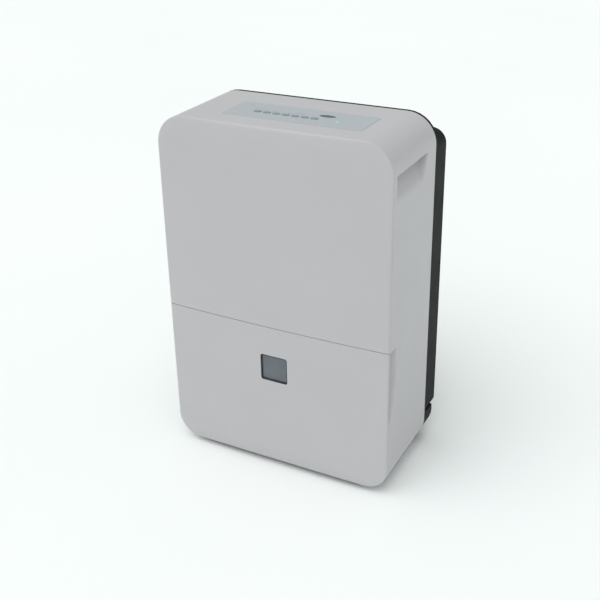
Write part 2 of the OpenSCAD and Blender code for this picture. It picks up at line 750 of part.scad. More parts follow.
module outlet_grille() color("white") {
    y0 = scroll_y0 + 1 + fit;
    y1 = scroll_y1 - 2 - fit;
    z0 = scroll_low_z + 5 + fit;
    z1 = duct_top_z - 3 - fit;
    pitch = 11;
    difference() {
        box([-side_x, y0, z0], [-inner_x, y1, z1]);
        box([-side_x - 1, y0 + 4, z0 + 4], [-inner_x + 1, y1 - 4, z1 - 4]);
    }
    intersection() {
        for (z = [z0 + 9:pitch:z1 - 4]) translate([-side_x + wall / 2, 0, z]) rotate([0, 40, 0])
            box([-5, y0 + 3.9, -0.8], [5, y1 - 3.9, 0.8]);
        box([-side_x, y0, z0], [-inner_x, y1, z1]);
    }
}

// ---------- Electrics ----------

module run_capacitor() color("lightgray") {
    translate([60, 45, base_z + base_wall]) cylinder(h = 70, r = 17);
    for (x = [54, 66]) translate([x, 45, base_z + base_wall + 70]) cylinder(h = 8, r = 2);
}

module electrical_box() color("dimgray") {
    box([88, bulkhead_y + 2.5, 70], [170, 58, 172]);
    for (z = [82, 112, 142]) box([100, 58, z], [158, 60, z + 12]);
}

module humidity_sensor() color("whitesmoke") {
    box([96, 70, coil_high_z], [124, 84, coil_high_z + 4]);
    box([104, 73, coil_high_z + 4], [116, 81, coil_high_z + 6]);
}

module float_switch() color("black") {
    box([float_x - 12, bulkhead_y + 2.5, 176], [float_x + 12, bulkhead_y + 8, 206]);
    box([float_x - 5, bulkhead_y + 8, 182], [float_x + 5, bulkhead_y + 12, 196]);
}

// ---------- Bucket ----------

module window_cut(extra, y0, y1)
    translate([0, y1, window_z]) rotate([90, 0, 0]) linear_extrude(y1 - y0)
        rounded(window_w + extra, window_h + extra, 4 + extra / 2);

module bucket_front() color("white") {
    difference() {
        intersection() {
            front_skin();
            box([-side_x - 1, front_y - 1, bottom_z - 1], [side_x + 1, split_y + 1, seam_z - gap / 2]);
        }
        window_cut(0, front_y - 1, front_y + wall + 1);
    }
    both_sides() for (z = [80, tub_top - 18]) rod_y(140, z, front_y + wall - 0.2, tub_front_y, 7);
}

module window_gasket() color("black") difference() {
    window_cut(-0.4, front_y + 0.6, front_y + wall + 0.9);
    window_cut(-3, front_y, front_y + wall + 1);
}

module bucket_window() color("slategray") window_cut(4, front_y + wall + 0.9, front_y + wall + 2.9);

module bucket_tub() color("gainsboro") {
    difference() {
        along_z(tub_floor_z, tub_top) translate([0, (tub_front_y + tub_back_y) / 2])
            rounded(tub_w, tub_back_y - tub_front_y, 12);
        along_z(tub_floor_z + tub_wall, tub_top + 1) translate([0, (tub_front_y + tub_back_y) / 2])
            rounded(tub_w - 2 * tub_wall, tub_back_y - tub_front_y - 2 * tub_wall, 12 - tub_wall);
        rod_x(pivot_y, pivot_z, -tub_w, tub_w, pin_r + running);
    }
    // Bracket that carries the float
    difference() {
        for (x = [float_x - 16, float_x + 12])
            box([x, float_pin_y - 5, float_pin_z - 6], [x + 4, tub_back_y - tub_wall, float_pin_z + 5]);
        rod_x(float_pin_y, float_pin_z, float_x - 20, float_x + 20, 2 + running);
    }
}

module bucket_handle() color("lightgray") {
    arm_x = tub_w / 2 - tub_wall - 1.5;
    both_sides() {
        rod_x(pivot_y, pivot_z, arm_x, tub_w / 2 - 0.2, pin_r);
        box([arm_x - 4, pivot_y - handle_reach, pivot_z - 4], [arm_x, pivot_y + 5, pivot_z + 4]);
    }
    rod_x(pivot_y - handle_reach, pivot_z, -arm_x + 4, arm_x - 4, 4.5);
}

module float_arm() color("whitesmoke") {
    rod_x(float_pin_y, float_pin_z, float_x - 15.9, float_x + 15.9, 2);
    translate([0, float_pin_y, float_pin_z]) along_x(float_x - 11.5, float_x + 11.5)
        polygon([[2.5, -2.5], [2.5, 2.5], [-14, 2.5], [-14, -11],
            [-50, -11], [-50, -14], [-11, -14], [-11, -2.5]]);
}

module float_block() color("white")
    translate([float_x, float_pin_y - 32]) along_z(float_pin_z - 34, float_pin_z - 14) rounded(46, 34, 6);

// ---------- Casters ----------

module caster_fork() color("black") {
    translate([0, 0, 28.5]) cylinder(h = stem_top_z - 28.5, r = stem_r);
    translate([0, 0, 28.5]) cylinder(h = 2.6, r = 12);
    translate([0, 0, 31]) cylinder(h = well_top_z - fit - 31, r = 7);
    both_sides() along_x(5.5, 8) polygon([[-9, 28.6], [9, 28.6], [caster_trail + 4, caster_r + 2],
        [caster_trail + 3, caster_r - 3.5], [caster_trail - 3, caster_r - 3.5],
        [caster_trail - 6, caster_r + 2]]);
    rod_x(caster_trail, caster_r, -5.6, 5.6, 2);
}

module caster_wheel() color("dimgray") difference() {
    translate([0, caster_trail, caster_r]) rotate([0, 90, 0]) rotate_extrude() polygon([
        [1, -5], [caster_r - 1.5, -5], [caster_r, -3.5], [caster_r, 3.5], [caster_r - 1.5, 5], [1, 5]]);
    rod_x(caster_trail, caster_r, -6, 6, 2 + running);
}

module at_caster(side, row) translate([side * caster_x, caster_ys[row], 0]) children();

// ---------- Build ----------

cabinet_top();
cabinet_side(0, side_x);  // cabinet_right_side
cabinet_side(-side_x, 0);  // cabinet_left_side
front_cover();
rear_cover();
base_pan();
right_grip_cup();
left_grip_cup();
outlet_grille();
control_panel();
display_window();
power_led();
indicator_leds();
control_board();
push_button(0);  // button_power
push_button(1);  // button_mode
push_button(2);  // button_fan
push_button(3);  // button_down
push_button(4);  // button_up
push_button(5);  // button_timer
push_button(6);  // button_pump
bucket_bay();
mid_deck();
drip_tray();
evaporator();
condenser();
compressor();
compressor_grommets();
discharge_pipe();
suction_pipe();
capillary_tube();
fan_housing();
fan_motor();
fan_shaft();
fan_wheel();
run_capacitor();
electrical_box();
humidity_sensor();
float_switch();
drain_spout();
drain_hose();
cord_gland();
rear_screws();
filter_frame();
filter_mesh();
bucket_front();
bucket_tub();
bucket_window();
window_gasket();
bucket_handle();
float_arm();
float_block();
at_caster(-1, 0) caster_fork();  // caster_fork_fl
at_caster(1, 0) caster_fork();  // caster_fork_fr
at_caster(-1, 1) caster_fork();  // caster_fork_rl
at_caster(1, 1) caster_fork();  // caster_fork_rr
at_caster(-1, 0) caster_wheel();  // caster_wheel_fl
at_caster(1, 0) caster_wheel();  // caster_wheel_fr
at_caster(-1, 1) caster_wheel();  // caster_wheel_rl
at_caster(1, 1) caster_wheel();  // caster_wheel_rr
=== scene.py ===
"""A white upright dehumidifier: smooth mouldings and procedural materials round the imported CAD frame."""
import json
import math

import bmesh
import bpy
from mathutils import Matrix, Vector


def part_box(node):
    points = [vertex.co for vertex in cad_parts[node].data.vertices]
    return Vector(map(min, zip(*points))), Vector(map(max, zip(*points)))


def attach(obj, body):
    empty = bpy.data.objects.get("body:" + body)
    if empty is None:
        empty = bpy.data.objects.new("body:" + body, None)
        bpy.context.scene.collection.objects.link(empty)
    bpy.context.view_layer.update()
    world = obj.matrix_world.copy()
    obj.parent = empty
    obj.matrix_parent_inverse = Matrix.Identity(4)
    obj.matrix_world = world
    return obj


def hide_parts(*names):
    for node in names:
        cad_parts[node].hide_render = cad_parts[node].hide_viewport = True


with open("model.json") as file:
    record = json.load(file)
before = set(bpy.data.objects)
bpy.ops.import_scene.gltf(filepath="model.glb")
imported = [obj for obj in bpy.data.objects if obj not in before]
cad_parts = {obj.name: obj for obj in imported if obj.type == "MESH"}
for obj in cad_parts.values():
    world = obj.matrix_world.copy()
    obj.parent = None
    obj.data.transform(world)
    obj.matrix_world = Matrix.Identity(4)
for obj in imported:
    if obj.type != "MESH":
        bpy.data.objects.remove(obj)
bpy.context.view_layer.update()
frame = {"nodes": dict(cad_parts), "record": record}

# ---------- Sizes, in metres, from the frame ----------

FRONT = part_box("front_cover")
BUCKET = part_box("bucket_front")
SHELL_NODES = ("cabinet_top", "cabinet_right_side", "cabinet_left_side", "right_grip_cup", "left_grip_cup")
SHELL_BOXES = [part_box(n) for n in SHELL_NODES]
SHELL = [Vector([pick(b[i][k] for b in SHELL_BOXES) for k in range(3)]) for i, pick in enumerate((min, max))]
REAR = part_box("rear_cover")
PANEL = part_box("control_panel")
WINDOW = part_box("window_gasket")
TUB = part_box("bucket_tub")
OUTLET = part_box("outlet_grille")
RIGHT_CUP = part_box("right_grip_cup")
PANEL_FLANGE = 0.003
PANEL_X = (PANEL[0].x + PANEL[1].x) / 2
PANEL_Y = (PANEL[0].y + PANEL[1].y) / 2
PANEL_W = PANEL[1].x - PANEL[0].x - 2 * PANEL_FLANGE
PANEL_D = PANEL[1].y - PANEL[0].y - 2 * PANEL_FLANGE

SIDE_X = SHELL[1].x
BOTTOM_Z = SHELL[0].z
TOP_Z = SHELL[1].z
MID_Z = (BOTTOM_Z + TOP_Z) / 2
HALF_H = (TOP_Z - BOTTOM_Z) / 2
FRONT_Y = FRONT[0].y
SPLIT_Y = FRONT[1].y
SHELL_BACK_Y = SHELL[1].y
# Walls of the front mouldings and of the cabinet behind them
WALL = 0.0025
SHELL_WALL = 0.002
# Radii of the cabinet's top and bottom corners, seen from the front
TOP_R = 0.048
FOOT_R = 0.040
STRAIGHT_X = SIDE_X - TOP_R
FOOT_X = SIDE_X - FOOT_R
STRAIGHT_HIGH = TOP_Z - TOP_R
STRAIGHT_LOW = BOTTOM_Z + FOOT_R

# Vertices nearer than this are one
MERGE = 2e-5

# ---------- Small maths ----------


def lerp(a, b, t):
    return a + (b - a) * t


def steps(a, b, n):
    return [lerp(a, b, i / n) for i in range(n + 1)]


def ease(t):
    t = max(0.0, min(1.0, t))
    return t * t * (3 - 2 * t)


def joined(*lists):
    """Sorted numbers from several lists, without near repeats."""
    near = 1e-4
    out = []
    for value in sorted(v for one in lists for v in one):
        if not out or value - out[-1] > near:
            out.append(value)
    return out


def rounded(lo, hi, r, n=6, inset=0.0):
    """A rounded rectangle as (u, v) points, counter-clockwise."""
    lo = (lo[0] + inset, lo[1] + inset)
    hi = (hi[0] - inset, hi[1] - inset)
    r = max(r - inset, 1e-5)
    centres = [(hi[0] - r, hi[1] - r), (lo[0] + r, hi[1] - r),
               (lo[0] + r, lo[1] + r), (hi[0] - r, lo[1] + r)]
    points = []
    for k, (u, v) in enumerate(centres):
        for i in range(n + 1):
            a = math.radians(90 * (k + i / n))
            points.append((u + r * math.cos(a), v + r * math.sin(a)))
    return points


# ---------- Mesh making ----------


def grid(bm, us, vs, place):
    """Quads over us and vs, each corner where place(u, v) says."""
    rows = [[bm.verts.new(place(u, v)) for u in us] for v in vs]
    for low, high in zip(rows, rows[1:]):
        for i in range(len(us) - 1):
            bm.faces.new((low[i], low[i + 1], high[i + 1], high[i]))


def loft(bm, rings, caps=(True, True)):
    """Quads between closed rings of equally many points, with flat caps where asked."""
    rows = [[bm.verts.new(p) for p in ring] for ring in rings]
    n = len(rings[0])
    for low, high in zip(rows, rows[1:]):
        for i in range(n):
            k = (i + 1) % n
            bm.faces.new((low[i], low[k], high[k], high[i]))
    if caps[0]:
        bm.faces.new(rows[0][::-1])
    if caps[1]:
        bm.faces.new(rows[-1])


def lathe(bm, axis, centre, profile, n):
    """Turns (along, radius) points about an axis through centre, in n steps. Radius 0 closes an end."""
    axis = Vector(axis)
    side = axis.orthogonal().normalized()
    other = axis.cross(side)
    rings = []
    for along, radius in profile:
        radius = max(radius, 1e-6)
        rings.append([Vector(centre) + axis * along + radius * (
            side * math.cos(2 * math.pi * i / n) + other * math.sin(2 * math.pi * i / n)) for i in range(n)])
    loft(bm, rings)


def outward(bm, facing):
    """Turns the faces to one side: towards facing, or away from the middle if facing is None."""
    bmesh.ops.recalc_face_normals(bm, faces=bm.faces)
    middle = sum((f.calc_center_median() for f in bm.faces), Vector()) / len(bm.faces)
    total = 0.0
    for f in bm.faces:
        aim = facing if facing else f.calc_center_median() - middle
        total += f.calc_area() * f.normal.dot(Vector(aim))
    if total < 0:
        bmesh.ops.reverse_faces(bm, faces=bm.faces)


def applied(obj):
    """Applies an object's modifiers to its mesh."""
    bpy.context.view_layer.update()
    shaped = obj.evaluated_get(bpy.context.evaluated_depsgraph_get())
    mesh = bpy.data.meshes.new_from_object(shaped)
    obj.modifiers.clear()
    obj.data = mesh


def solidify(obj, thickness, even=True):
    """Thickens a sheet inwards. Material index 0 then marks its outer skin, 1 its inside and 2 its rim."""
    for _ in range(3):
        obj.data.materials.append(None)
    m = obj.modifiers.new("thickness", "SOLIDIFY")
    m.thickness = thickness
    m.offset = -1
    m.use_even_offset = even
    m.material_offset = 1
    m.material_offset_rim = 2
    applied(obj)


def weigh_normals(obj):
    """Keeps flat faces flat in the shading, with rounded edges between them."""
    w = obj.modifiers.new("normals", "WEIGHTED_NORMAL")
    w.keep_sharp = True


# Radius of the rounded edges on the mouldings, and where rows of vertices go across it
EDGE = 0.0005
EDGE_ROWS = (0.134, 0.5, 1.0)
SHARP = math.radians(40)


def ease_edges(obj, *planes):
    """Rounds a thick sheet's outer skin where it ends at planes, each (axis, place, side with the skin)."""
    bm = bmesh.new()
    bm.from_mesh(obj.data)
    for axis, place, side in planes:
        across = Vector([float(k == axis) for k in range(3)])
        for row in EDGE_ROWS:
            bmesh.ops.bisect_plane(bm, geom=bm.verts[:] + bm.edges[:] + bm.faces[:], dist=1e-7,
                                   plane_co=across * (place + side * EDGE * row), plane_no=across)
    moves = []
    for v in bm.verts:
        best = (0.0, None)
        for axis, place, side in planes:
            t = 1 - side * (v.co[axis] - place) / EDGE
            skins = [f.normal for f in v.link_faces if f.material_index == 0 and abs(f.normal[axis]) < 0.5]
            if skins and 0 < t < 1.001:
                sink = EDGE * (1 - math.sqrt(max(0.0, 1 - t * t)))
                best = max(best, (sink, sum(skins, Vector()).normalized()), key=lambda one: one[0])
        if best[1]:
            moves.append((v, best))
    for v, (sink, normal) in moves:
        v.co -= sink * normal
    for e in bm.edges:
        e.smooth = e.calc_face_angle(0) < SHARP
    bm.to_mesh(obj.data)
    bm.free()
    weigh_normals(obj)


# How far a cutter stands over the surface: just clear of it, then well clear of it
CUTTER_RISE = (2e-5, 0.003)


def edged_cutter(ring, place, depth):
    """A closed cutter that rounds the edge of its own hole. ring(grow) is its outline, grown by so much.

    place(u, v, h) puts an outline's point at height h over the surface."""
    arc = [(-EDGE * (1 - math.sin(a)), EDGE * (1 - math.cos(a))) for a in steps(0, math.pi / 2, 3)]
    profile = [(-depth, 0), *arc[:-1], *((rise, EDGE) for rise in CUTTER_RISE)]
    bm = bmesh.new()
    loft(bm, [[place(u, v, h) for u, v in ring(grow)] for h, grow in profile])
    return bm


def soften(obj, width, angle):
    """Rounds the edges that are sharper than an angle."""
    m = obj.modifiers.new("edges", "BEVEL")
    m.width = width
    m.segments = 2
    m.limit_method = "ANGLE"
    m.angle_limit = math.radians(angle)
    m.miter_outer = "MITER_ARC"
    weigh_normals(obj)


def cut(obj, *cutters):
    """Cuts closed meshes, which don't touch one another, out of an object."""
    mesh = bpy.data.meshes.new("cutter")
    whole = bmesh.new()
    for bm in cutters:
        outward(bm, None)
        bm.to_mesh(mesh)
        whole.from_mesh(mesh)
        bm.free()
    whole.to_mesh(mesh)
    whole.free()
    tool = bpy.data.objects.new("cutter", mesh)
    bpy.context.scene.collection.objects.link(tool)
    m = obj.modifiers.new("cut", "BOOLEAN")
    m.operation = "DIFFERENCE"
    m.solver = "EXACT"
    m.use_self = True
    m.object = tool
    applied(obj)
    bpy.data.objects.remove(tool)


def made(name, bm, facing=None):
    """An object from a bmesh, with its vertices merged and its faces turned outwards."""
    bmesh.ops.remove_doubles(bm, verts=bm.verts, dist=MERGE)
    outward(bm, facing)
    mesh = bpy.data.meshes.new(name)
    bm.to_mesh(mesh)
    bm.free()
    obj = bpy.data.objects.new(name, mesh)
    bpy.context.scene.collection.objects.link(obj)
    return obj


def placed(obj, material, body, slot, *nodes):
    """Gives a finished object its material and body, and hides the CAD nodes that it stands for. slot is not
    used.
    """
    for polygon in obj.data.polygons:
        polygon.use_smooth = True
        polygon.material_index = 0
    obj.data.materials.clear()
    obj.data.materials.append(material)
    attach(obj, body)
    if nodes:
        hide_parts(*nodes)


# ---------- Materials ----------


class Nodes:
    """Short calls for building a node material."""

    def __init__(self, name):
        self.material = bpy.data.materials.new(name)
        self.material.use_nodes = True
        self.tree = self.material.node_tree
        self.shader = self.tree.nodes["Principled BSDF"]
        self.place = self.tree.nodes.new("ShaderNodeTexCoord").outputs["Object"]

    def add(self, kind, **inputs):
        node = self.tree.nodes.new(kind)
        for key, value in inputs.items():
            key = key.replace("_", " ")
            if isinstance(value, bpy.types.NodeSocket):
                self.tree.links.new(value, node.inputs[key])
            else:
                node.inputs[key].default_value = value
        return node

    def noise(self, scale, detail=2.0, rough=0.5, stretch=None):
        where = self.place
        if stretch:
            mapping = self.add("ShaderNodeMapping", Vector=where)
            mapping.inputs["Scale"].default_value = stretch
            where = mapping.outputs[0]
        node = self.add("ShaderNodeTexNoise", Vector=where, Scale=scale, Detail=detail, Roughness=rough)
        return node.outputs[0]

    def between(self, factor, low, high, start=0.3, end=0.7):
        """A number or colour that runs from low to high as factor runs from start to end."""
        if isinstance(low, (int, float)):
            node = self.add("ShaderNodeMapRange", Value=factor)
            node.inputs["From Min"].default_value = start
            node.inputs["From Max"].default_value = end
            node.inputs["To Min"].default_value = low
            node.inputs["To Max"].default_value = high
            return node.outputs[0]
        ramp = self.add("ShaderNodeValToRGB", Fac=factor)
        ramp.color_ramp.elements[0].position = start
        ramp.color_ramp.elements[0].color = (*low, 1)
        ramp.color_ramp.elements[1].position = end
        ramp.color_ramp.elements[1].color = (*high, 1)
        return ramp.outputs[0]

    def bump(self, height, distance, strength=1.0, under=None):
        node = self.add("ShaderNodeBump", Height=height, Distance=distance, Strength=strength)
        if under:
            self.tree.links.new(under, node.inputs["Normal"])
        return node.outputs[0]

    def set(self, **inputs):
        for key, value in inputs.items():
            key = key.replace("_", " ")
            if isinstance(value, bpy.types.NodeSocket):
                self.tree.links.new(value, self.shader.inputs[key])
            else:
                self.shader.inputs[key].default_value = value


def linear(*srgb):
    """0-255 screen colour to linear."""
    return tuple((c / 255 / 12.92) if c <= 10 else ((c / 255 + 0.055) / 1.055) ** 2.4 for c in srgb)


def tinted(colour, factor):
    """A darker or brighter colour."""
    return tuple(min(1.0, c * factor) for c in colour)


def moulded(name, colour, rough, grain, depth, mottle=0.02, gloss=0.5, specks=0.0):
    """Moulded plastic: faint mottling in the colour, a fine grain in the surface, uneven gloss.

    grain and depth are the fineness and height of the surface's grain, specks how much paler its dust is."""
    m = Nodes(name)
    cloud = m.noise(9, 3)
    shade = m.between(cloud, tinted(colour, 1 - mottle), tinted(colour, 1 + mottle))
    if specks:
        dust = m.between(m.noise(900, 1), (0, 0, 0), (1, 1, 1), 0.68, 0.74)
        mix = m.add("ShaderNodeMix")
        mix.data_type = "RGBA"
        m.tree.links.new(dust, mix.inputs[0])
        m.tree.links.new(shade, mix.inputs[6])
        mix.inputs[7].default_value = (*tinted(colour, 1 + specks), 1)
        shade = mix.outputs[2]
    peel = m.bump(m.noise(160, 2), 0.00002, 0.35)
    m.set(Base_Color=shade, IOR=1.5, Specular_IOR_Level=gloss,
          Roughness=m.between(m.noise(26, 4), rough - 0.03, rough + 0.04),
          Normal=m.bump(m.noise(grain, 3, 0.6), depth, 1.0, under=peel))
    return m.material


def brushed(name, colour, rough, stretch):
    """Metal with fine lines along one way."""
    m = Nodes(name)
    lines = m.noise(60, 4, 0.6, stretch)
    m.set(Base_Color=m.between(lines, tinted(colour, 0.86), tinted(colour, 1.08)), Metallic=1.0,
          Roughness=m.between(lines, rough - 0.06, rough + 0.1), Normal=m.bump(lines, 0.00004, 0.5))
    return m.material


def rubber(name, colour, rough=0.75):
    """Matt rubber with paler patches."""
    m = Nodes(name)
    bloom = m.noise(35, 5, 0.65)
    m.set(Base_Color=m.between(bloom, tinted(colour, 0.85), tinted(colour, 1.35), 0.4, 0.75),
          Roughness=m.between(bloom, rough, min(rough + 0.12, 0.95)), IOR=1.45,
          Normal=m.bump(m.noise(1400, 2), 0.00005, 0.6))
    return m.material


def lens(name, colour, rough, glow=0.0):
    """Clear plastic over a dark or lit ground."""
    m = Nodes(name)
    haze = m.noise(60, 3)
    m.set(Base_Color=m.between(haze, tinted(colour, 0.93), tinted(colour, 1.07)),
          Roughness=m.between(haze, rough, rough + 0.08), Coat_Weight=0.6, Coat_Roughness=0.06)
    if glow:
        m.set(Emission_Color=(*colour, 1), Emission_Strength=glow)
    return m.material


def woven(name, colour, pitch):
    """A square net: threads across and up, raised where they cross."""
    m = Nodes(name)
    turns = []
    for axis in (0, 2):
        split = m.add("ShaderNodeSeparateXYZ", Vector=m.place)
        wave = m.add("ShaderNodeMath", Value=split.outputs[axis])
        wave.operation = "MULTIPLY"
        wave.inputs[1].default_value = 2 * math.pi / pitch
        sine = m.tree.nodes.new("ShaderNodeMath")
        sine.operation = "SINE"
        m.tree.links.new(wave.outputs[0], sine.inputs[0])
        turns.append(sine.outputs[0])
    top = m.tree.nodes.new("ShaderNodeMath")
    top.operation = "MAXIMUM"
    m.tree.links.new(turns[0], top.inputs[0])
    m.tree.links.new(turns[1], top.inputs[1])
    m.set(Base_Color=m.between(top.outputs[0], tinted(colour, 0.35), tinted(colour, 1.6), 0.2, 0.9),
          Roughness=0.7, Normal=m.bump(top.outputs[0], 0.0003, 0.8))
    return m.material


# How each finish is made: the kind of material, then what its function takes after the name
LOOKS = {
    "white_abs": (moulded, linear(189, 187, 190), 0.36, 1900, 0.000012, 0.012),
    "charcoal_abs": (moulded, linear(30, 30, 31), 0.6, 1300, 0.00005, 0.06, 0.1, 0.5),
    "panel_blue_grey": (moulded, linear(174, 180, 185), 0.3, 2600, 0.00001, 0.015),
    "button_grey": (moulded, linear(142, 151, 161), 0.4, 2200, 0.00002, 0.03),
    "smoked_lens": (lens, linear(14, 15, 17), 0.25),
    "green_led": (lens, linear(120, 205, 140), 0.2, 0.35),
    "pale_led": (lens, linear(150, 158, 164), 0.25),
    "circuit_board": (moulded, linear(32, 92, 58), 0.35, 900, 0.00003, 0.1),
    "inner_grey_abs": (moulded, linear(112, 116, 120), 0.5, 1200, 0.00004, 0.04),
    "inner_white_abs": (moulded, linear(222, 222, 218), 0.45, 1200, 0.00004, 0.03),
    "coil_aluminium": (brushed, linear(196, 199, 202), 0.34, (1, 1, 40)),
    "black_steel": (moulded, linear(34, 34, 37), 0.32, 420, 0.00008, 0.1),
    "black_rubber": (rubber, linear(54, 55, 59)),
    "copper_tube": (brushed, linear(204, 128, 88), 0.28, (6, 6, 1)),
    "motor_steel": (brushed, linear(168, 171, 174), 0.36, (1, 30, 1)),
    "bright_steel": (brushed, linear(205, 207, 210), 0.25, (1, 20, 1)),
    "switch_black": (moulded, linear(40, 41, 44), 0.45, 1500, 0.00003, 0.05),
    "clear_hose": (rubber, linear(192, 196, 192), 0.35),
    "filter_net": (woven, linear(52, 54, 57), 0.0016),
    "tub_plastic": (moulded, linear(206, 212, 216), 0.34, 1500, 0.00002, 0.02),
    "window_lens": (lens, linear(88, 95, 104), 0.16),
    "float_foam": (moulded, linear(236, 236, 230), 0.8, 700, 0.0002, 0.04),
    "caster_black": (moulded, linear(38, 39, 41), 0.42, 1500, 0.00003, 0.06),
    "caster_tyre": (rubber, linear(58, 59, 61), 0.6),
}
MATERIALS = {name: make(name, *look) for name, (make, *look) in LOOKS.items()}

# ---------- Camera and light ----------

LENS_MM = 57.786
LENS_SHIFT = -0.0533
CAMERA_AT = Vector((0.66048, -1.25852, 0.98406))
CAMERA_AIM = Vector((-0.00234, -0.011, 0.32576))
CAMERA_ROLL = math.radians(-1.06)
SKY_LEVEL = 0.45
SKY_LEAN = (-0.05, 0.0, 0.30)
SUN_STRENGTH = 1.42
SUN_SPREAD = math.radians(60)
SUN_FROM = Vector((-0.12, -0.6, 1.18))
FLOOR_HALF = 30


def make_camera():
    data = bpy.data.cameras.new("camera")
    data.sensor_width = 36
    data.lens = LENS_MM
    data.shift_y = LENS_SHIFT
    data.clip_end = 100
    camera = bpy.data.objects.new("camera", data)
    bpy.context.scene.collection.objects.link(camera)
    ahead = (CAMERA_AIM - CAMERA_AT).normalized()
    right = ahead.cross(Vector((0, 0, 1))).normalized()
    up = right.cross(ahead)
    x = right * math.cos(CAMERA_ROLL) + up * math.sin(CAMERA_ROLL)
    y = up * math.cos(CAMERA_ROLL) - right * math.sin(CAMERA_ROLL)
    turn = Matrix((x, y, -ahead)).transposed().to_4x4()
    camera.matrix_world = Matrix.Translation(CAMERA_AT) @ turn
    bpy.context.scene.camera = camera


def make_studio():
    world = bpy.data.worlds.new("studio")
    bpy.context.scene.world = world
    world.use_nodes = True
    tree = world.node_tree
    tree.nodes["Background"].inputs["Color"].default_value = (*linear(249, 253, 252), 1)
    # Brighter overhead, as under a large soft box
    bright = tree.nodes.new("ShaderNodeVectorMath")
    bright.operation = "DOT_PRODUCT"
    bright.inputs[1].default_value = SKY_LEAN
    tree.links.new(tree.nodes.new("ShaderNodeTexCoord").outputs["Generated"], bright.inputs[0])
    total = tree.nodes.new("ShaderNodeMath")
    total.inputs[1].default_value = SKY_LEVEL
    tree.links.new(bright.outputs["Value"], total.inputs[0])
    # To the camera, the horizon is as pale as the floor
    seen = tree.nodes.new("ShaderNodeMath")
    seen.operation = "MAXIMUM"
    tree.links.new(total.outputs[0], seen.inputs[0])
    tree.links.new(tree.nodes.new("ShaderNodeLightPath").outputs["Is Camera Ray"], seen.inputs[1])
    tree.links.new(seen.outputs[0], tree.nodes["Background"].inputs["Strength"])
    sun = bpy.data.lights.new("soft_sun", "SUN")
    sun.energy = SUN_STRENGTH
    sun.angle = SUN_SPREAD
    lamp = bpy.data.objects.new("soft_sun", sun)
    bpy.context.scene.collection.objects.link(lamp)
    lamp.rotation_euler = SUN_FROM.to_track_quat("Z", "Y").to_euler()
    bm = bmesh.new()
    grid(bm, steps(-FLOOR_HALF, FLOOR_HALF, 6), steps(-FLOOR_HALF, FLOOR_HALF, 6), lambda u, v: (u, v, 0))
    floor = made("floor", bm, (0, 0, 1))
    m = Nodes("floor")
    cloud = m.noise(0.8, 2)
    m.set(Base_Color=m.between(cloud, linear(246, 250, 249), linear(249, 252, 251)), Roughness=0.9,
          Specular_IOR_Level=0.1)
    floor.data.materials.append(m.material)
    bpy.context.scene.view_settings.view_transform = "Standard"
    bpy.context.scene.view_settings.look = "None"


# ---------- The outline of the cabinet ----------

CORNER_STEPS = 14
SIDE_ZS = steps(STRAIGHT_LOW, STRAIGHT_HIGH, 20)
ACROSS = steps(-1, 1, 14)


def straight_x(z):
    """Where the middle of the face ends and its corners' columns begin, at height z."""
    return lerp(FOOT_X, STRAIGHT_X, max(0.0, min(1.0, (z - STRAIGHT_LOW) / (STRAIGHT_HIGH - STRAIGHT_LOW))))


def corner_centre(k):
    """Corner k: 0 top right, 1 top left, 2 bottom left, 3 bottom right."""
    z = STRAIGHT_HIGH if k < 2 else STRAIGHT_LOW
    return (straight_x(z) if k in (0, 3) else -straight_x(z)), z


def corner(k):
    """Points and normals round corner k."""
    x, z = corner_centre(k)
    r = TOP_R if k < 2 else FOOT_R
    turns = [math.radians(90 * (k + i / CORNER_STEPS)) for i in range(CORNER_STEPS + 1)]
    return [(x + r * math.cos(a), z + r * math.sin(a), math.cos(a), math.sin(a)) for a in turns]


def cabinet_outline():
    """(x, z, normal x, normal z) round the cabinet, counter-clockwise from the bottom of the right side."""
    points = [(SIDE_X, z, 1, 0) for z in SIDE_ZS[:-1]]
    points += corner(0)
    points += [(u * STRAIGHT_X, TOP_Z, 0, 1) for u in ACROSS[-2:0:-1]]
    points += corner(1)
    points += [(-SIDE_X, z, -1, 0) for z in SIDE_ZS[-2:0:-1]]
    points += corner(2)
    points += [(u * FOOT_X, BOTTOM_Z, 0, -1) for u in ACROSS[1:-1]]
    points += corner(3)[:-1]
    return points


# ---------- The front mouldings ----------

# The bow is how far the face falls back at its edges, and the roll how wide its soft edge is
SIDE_BOW = 0.0042
END_BOW = 0.002
SIDE_ROLL = 0.005
TOP_ROLL = 0.023
FOOT_ROLL = 0.022
ROLL_STEPS = 9
FACE_STEPS = 5
SKIRT = 0.0006
# The cover's edge over the seam hangs down a little, one step behind the face
SEAM_STEP = 0.0012
SEAM_LIP = 0.0005
WINDOW_R = 0.004
POST_PLACES = [(x, z) for x in (-0.14, 0.14) for z in (0.08, TUB[1].z - 0.018)]
POST_FRONT_Y = FRONT_Y + 0.0042
POST_BACK_Y = TUB[0].y - 0.0001


def roll_width(nz):
    """Width of the rolled edge, from the outline's normal."""
    return lerp(SIDE_ROLL, TOP_ROLL if nz > 0 else FOOT_ROLL, nz * nz)


def front_bow(x, z):
    """How far the front face falls back from its foremost plane."""
    return SIDE_BOW * abs(x / SIDE_X) ** 2.2 + END_BOW * abs((z - MID_Z) / HALF_H) ** 3


